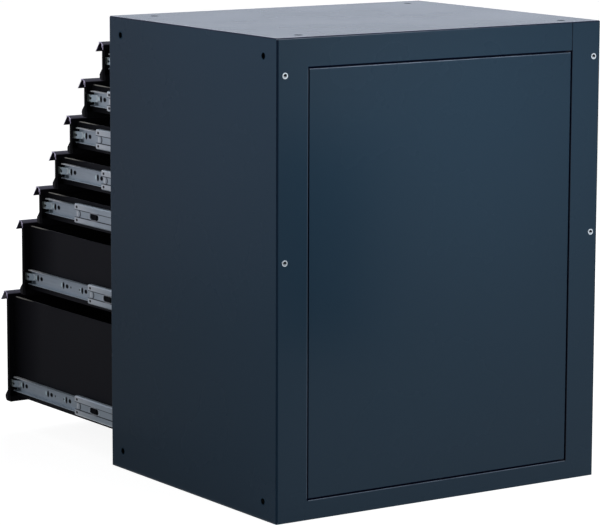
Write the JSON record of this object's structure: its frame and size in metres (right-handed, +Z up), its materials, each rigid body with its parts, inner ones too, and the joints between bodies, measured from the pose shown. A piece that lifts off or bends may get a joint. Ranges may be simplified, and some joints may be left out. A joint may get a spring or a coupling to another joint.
{
  "type": "workshop drawer cabinet",
  "caption": "Sheet-steel workshop drawer cabinet with an inset back and stacked full-width drawers on telescopic ball slides, each with an extruded grip along its top edge",
  "frame": {"origin": "centre of the cabinet's base, at floor level", "axes": "+Z up; the drawers open towards -Y and the back panel faces +Y; +X is the cabinet's right side for someone who stands before the drawers"},
  "size_m": [0.675, 0.9602, 0.81],
  "materials": {
    "carcass_paint": "fine-textured anthracite blue powder coat, semi-matt",
    "drawer_paint": "fine-textured black powder coat",
    "handle_aluminium": "black anodised extrusion with bright sawn ends",
    "zinc_steel": "bright zinc-plated cold-rolled steel",
    "screw_steel": "bright zinc-plated screw with a dark socket"
  },
  "bodies": {
    "carcass": {"side_panel_right": "carcass_paint", "side_panel_left": "carcass_paint", "top_panel": "carcass_paint", "bottom_panel": "carcass_paint", "back_panel": "carcass_paint", "slide_posts_right": "carcass_paint", "slide_posts_left": "carcass_paint", "back_bolts": "screw_steel", "drawer_1_cabinet_rails": "zinc_steel", "drawer_2_cabinet_rails": "zinc_steel", "drawer_3_cabinet_rails": "zinc_steel", "drawer_4_cabinet_rails": "zinc_steel", "drawer_5_cabinet_rails": "zinc_steel", "drawer_6_cabinet_rails": "zinc_steel", "drawer_7_cabinet_rails": "zinc_steel"},
    "slide_1": {"drawer_1_middle_rails": "zinc_steel"},
    "drawer_1": {"drawer_1_box": "drawer_paint", "drawer_1_front": "drawer_paint", "drawer_1_handle": "handle_aluminium", "drawer_1_rails": "zinc_steel"},
    "slide_2": {"drawer_2_middle_rails": "zinc_steel"},
    "drawer_2": {"drawer_2_box": "drawer_paint", "drawer_2_front": "drawer_paint", "drawer_2_handle": "handle_aluminium", "drawer_2_rails": "zinc_steel"},
    "slide_3": {"drawer_3_middle_rails": "zinc_steel"},
    "drawer_3": {"drawer_3_box": "drawer_paint", "drawer_3_front": "drawer_paint", "drawer_3_handle": "handle_aluminium", "drawer_3_rails": "zinc_steel"},
    "slide_4": {"drawer_4_middle_rails": "zinc_steel"},
    "drawer_4": {"drawer_4_box": "drawer_paint", "drawer_4_front": "drawer_paint", "drawer_4_handle": "handle_aluminium", "drawer_4_rails": "zinc_steel"},
    "slide_5": {"drawer_5_middle_rails": "zinc_steel"},
    "drawer_5": {"drawer_5_box": "drawer_paint", "drawer_5_front": "drawer_paint", "drawer_5_handle": "handle_aluminium", "drawer_5_rails": "zinc_steel"},
    "slide_6": {"drawer_6_middle_rails": "zinc_steel"},
    "drawer_6": {"drawer_6_box": "drawer_paint", "drawer_6_front": "drawer_paint", "drawer_6_handle": "handle_aluminium", "drawer_6_rails": "zinc_steel"},
    "slide_7": {"drawer_7_middle_rails": "zinc_steel"},
    "drawer_7": {"drawer_7_box": "drawer_paint", "drawer_7_front": "drawer_paint", "drawer_7_handle": "handle_aluminium", "drawer_7_rails": "zinc_steel"}
  },
  "joints": [
    {"name": "slide_1", "type": "slide", "parent": "carcass", "child": "slide_1", "axis": [0, -1, 0], "range_m": [-0.0086, 0.2414]},
    {"name": "drawer_1", "type": "slide", "parent": "slide_1", "child": "drawer_1", "axis": [0, -1, 0], "range_m": [-0.0254, 0.2246]},
    {"name": "slide_2", "type": "slide", "parent": "carcass", "child": "slide_2", "axis": [0, -1, 0], "range_m": [-0.0345, 0.2155]},
    {"name": "drawer_2", "type": "slide", "parent": "slide_2", "child": "drawer_2", "axis": [0, -1, 0], "range_m": [-0.0641, 0.1859]},
    {"name": "slide_3", "type": "slide", "parent": "carcass", "child": "slide_3", "axis": [0, -1, 0], "range_m": [-0.0742, 0.1758]},
    {"name": "drawer_3", "type": "slide", "parent": "slide_3", "child": "drawer_3", "axis": [0, -1, 0], "range_m": [-0.0778, 0.1722]},
    {"name": "slide_4", "type": "slide", "parent": "carcass", "child": "slide_4", "axis": [0, -1, 0], "range_m": [-0.0561, 0.1939]},
    {"name": "drawer_4", "type": "slide", "parent": "slide_4", "child": "drawer_4", "axis": [0, -1, 0], "range_m": [-0.1516, 0.0984]},
    {"name": "slide_5", "type": "slide", "parent": "carcass", "child": "slide_5", "axis": [0, -1, 0], "range_m": [-0.1535, 0.0965]},
    {"name": "drawer_5", "type": "slide", "parent": "slide_5", "child": "drawer_5", "axis": [0, -1, 0], "range_m": [-0.115, 0.135]},
    {"name": "slide_6", "type": "slide", "parent": "carcass", "child": "slide_6", "axis": [0, -1, 0], "range_m": [-0.1073, 0.1427]},
    {"name": "drawer_6", "type": "slide", "parent": "slide_6", "child": "drawer_6", "axis": [0, -1, 0], "range_m": [-0.2291, 0.0209]},
    {"name": "slide_7", "type": "slide", "parent": "carcass", "child": "slide_7", "axis": [0, -1, 0], "range_m": [-0.1588, 0.0912]},
    {"name": "drawer_7", "type": "slide", "parent": "slide_7", "child": "drawer_7", "axis": [0, -1, 0], "range_m": [-0.24, 0.01]}
  ]
}
